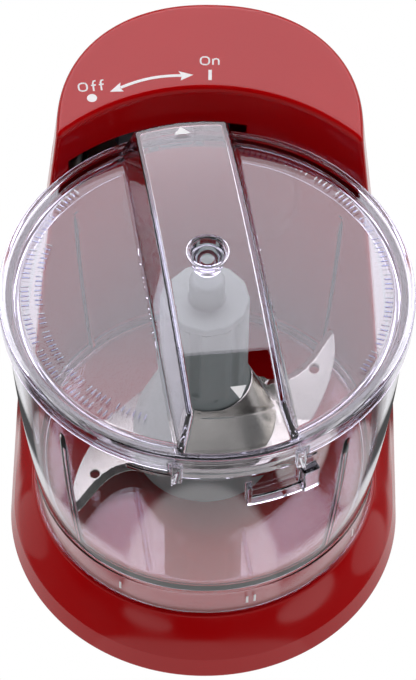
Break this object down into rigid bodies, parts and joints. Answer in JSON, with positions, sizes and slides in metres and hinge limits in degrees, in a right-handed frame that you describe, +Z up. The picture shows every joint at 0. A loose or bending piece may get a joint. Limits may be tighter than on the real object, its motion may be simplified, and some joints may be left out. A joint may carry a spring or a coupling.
{
  "type": "food processor",
  "caption": "Compact food processor: rear motor tower with belt drive, clear bowl on a low base, tall two-bladed knife and a clear lid whose grip turns as the switch.",
  "frame": {"origin": "centre of the bounding box on the surface that the feet stand on", "axes": "+Z up, +Y from the bowl towards the motor tower, +X to the right seen from the front; the bowl's axis is parallel to Z at y = -24.5 mm"},
  "size_m": [0.142, 0.191, 0.1583],
  "materials": {
    "red_shell": "gloss moulded ABS",
    "clear_plastic": "clear moulded SAN",
    "frosted_plastic": "translucent pale grey-green polypropylene",
    "blade_steel": "ground and polished stainless steel",
    "bright_steel": "bright steel",
    "zinc_screw": "zinc plated",
    "black_plastic": "black moulded nylon",
    "grey_plastic": "dark grey moulded polypropylene",
    "white_nylon": "natural nylon",
    "rubber": "soft black rubber",
    "bronze": "sintered bronze",
    "copper": "enamelled and bare copper",
    "iron": "laminated or ferrite iron",
    "alloy": "die-cast alloy",
    "circuit_board": "green solder mask",
    "electrical": "dark resin"
  },
  "bodies": {
    "base": {"housing": "red_shell", "bottom_plate": "grey_plastic", "feet": "rubber", "case_screws": "zinc_screw", "cord_gland": "rubber", "cord_clamp": "grey_plastic", "clamp_screws": "zinc_screw", "motor_can": "bright_steel", "motor_magnets": "iron", "motor_end_bell": "black_plastic", "motor_brushes": "copper", "motor_bushes": "bronze", "motor_bracket": "bright_steel", "motor_screws": "zinc_screw", "bracket_grommets": "rubber", "bracket_screws": "zinc_screw", "drive_belt": "rubber", "spindle_housing": "alloy", "spindle_bushes": "bronze", "spindle_seal": "rubber", "spindle_screws": "zinc_screw", "microswitch": "black_plastic", "switch_screws": "zinc_screw", "control_board": "circuit_board", "board_parts": "electrical", "board_screws": "zinc_screw", "wiring": "electrical"},
    "rotor": {"armature_core": "iron", "armature_windings": "copper", "commutator": "copper", "motor_shaft": "bright_steel", "motor_pulley": "alloy"},
    "spindle": {"spindle_shaft": "bright_steel", "driven_pulley": "white_nylon", "drive_coupling": "white_nylon", "spindle_washer": "bright_steel", "spindle_circlip": "bright_steel"},
    "bowl": {"bowl": "clear_plastic"},
    "knife": {"blade_hub": "frosted_plastic", "hub_cap": "frosted_plastic", "hub_drive_insert": "frosted_plastic", "blade_lower": "blade_steel", "blade_upper": "blade_steel"},
    "lid_centre": {"lid_bearing_cup": "clear_plastic"},
    "lid": {"lid": "clear_plastic"},
    "slider": {"interlock_slider": "black_plastic"},
    "plunger": {"switch_plunger": "white_nylon"}
  },
  "joints": [
    {"name": "motor_spin", "type": "hinge", "parent": "base", "child": "rotor", "pos_m": [0, 0.0695, 0.05], "axis": [0, 0, 1], "continuous": true},
    {"name": "spindle_spin", "type": "hinge", "parent": "base", "child": "spindle", "pos_m": [0, -0.0245, 0.03], "axis": [0, 0, 1], "continuous": true},
    {"name": "bowl_lift", "type": "slide", "parent": "base", "child": "bowl", "axis": [0, 0, 1], "range_m": [0, 0.12]},
    {"name": "knife_spin", "type": "hinge", "parent": "bowl", "child": "knife", "pos_m": [0, -0.0245, 0.09], "axis": [0, 0, 1], "continuous": true},
    {"name": "lid_lift", "type": "slide", "parent": "bowl", "child": "lid_centre", "axis": [0, 0, 1], "range_m": [0, 0.06]},
    {"name": "lid_turn", "type": "hinge", "parent": "lid_centre", "child": "lid", "pos_m": [0, -0.0245, 0.135], "axis": [0, 0, 1], "range_deg": [-9.8, 17.2]},
    {"name": "slider_turn", "type": "hinge", "parent": "base", "child": "slider", "pos_m": [0, -0.0245, 0.132], "axis": [0, 0, 1], "range_deg": [-9.8, 17.2]},
    {"name": "plunger_in", "type": "slide", "parent": "base", "child": "plunger", "axis": [-0.2334, 0.9724, 0], "range_m": [-0.0008, 0.00048]}
  ],
  "couplings": [
    {"joint": "spindle_spin", "follows": "motor_spin", "ratio": 0.3111},
    {"joint": "knife_spin", "follows": "motor_spin", "ratio": 0.3111},
    {"joint": "slider_turn", "follows": "lid_turn", "ratio": 1},
    {"joint": "plunger_in", "follows": "lid_turn", "m_per_rad": -0.0025465}
  ]
}
